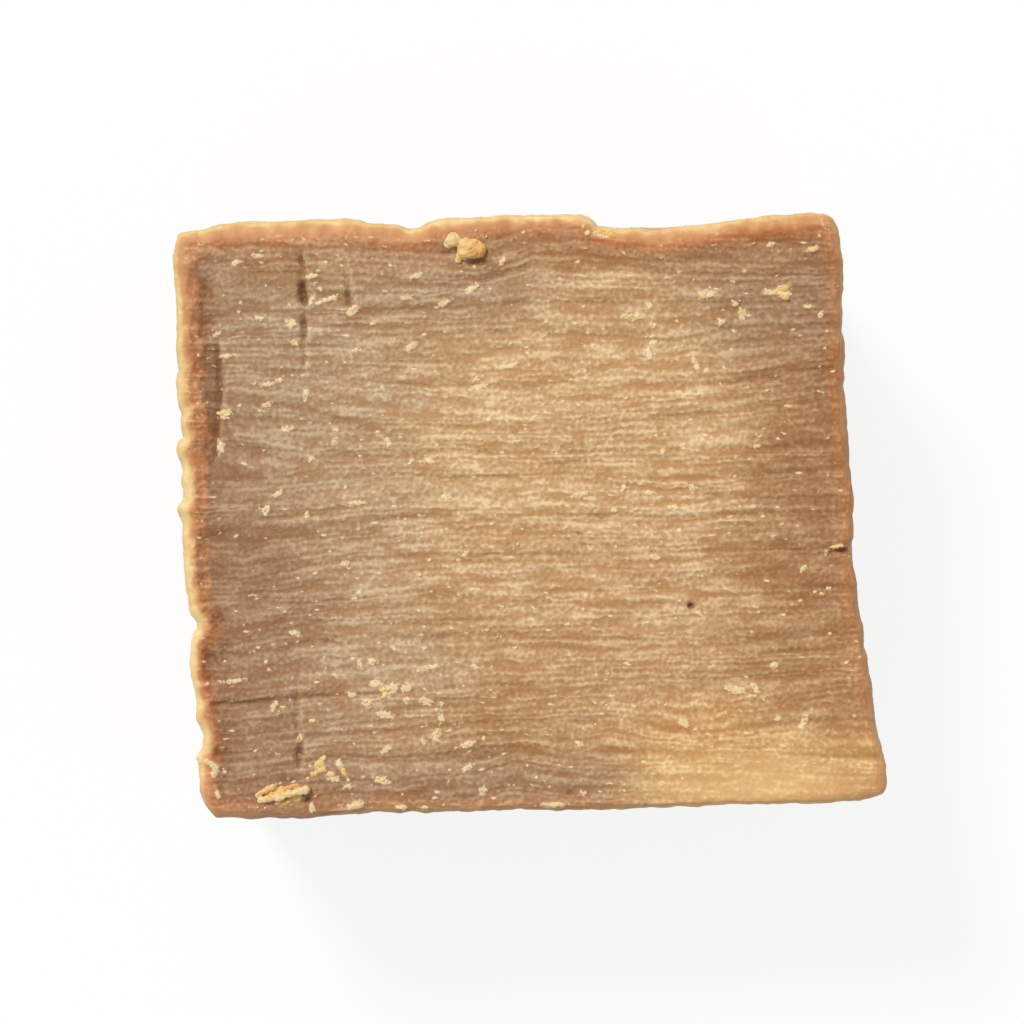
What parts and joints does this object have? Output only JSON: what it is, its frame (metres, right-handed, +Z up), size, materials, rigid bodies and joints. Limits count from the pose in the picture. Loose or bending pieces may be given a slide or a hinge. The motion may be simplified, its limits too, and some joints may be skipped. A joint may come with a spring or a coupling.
{
  "type": "bar of soap",
  "caption": "Hand-cut block of natural soap lying flat, with ragged worn edges and blade drag lines on its cut face.",
  "frame": {"origin": "middle of the bar's box, on the surface the bar lies on", "axes": "+X along the long side of the cut face, +Y towards its back edge, +Z up out of the cut face"},
  "size_m": [0.0812, 0.069, 0.0397],
  "materials": {
    "soap": "waxy, matte, tan with pale flecks"
  },
  "bodies": {
    "root": {"soap_bar": "soap"}
  },
  "joints": []
}
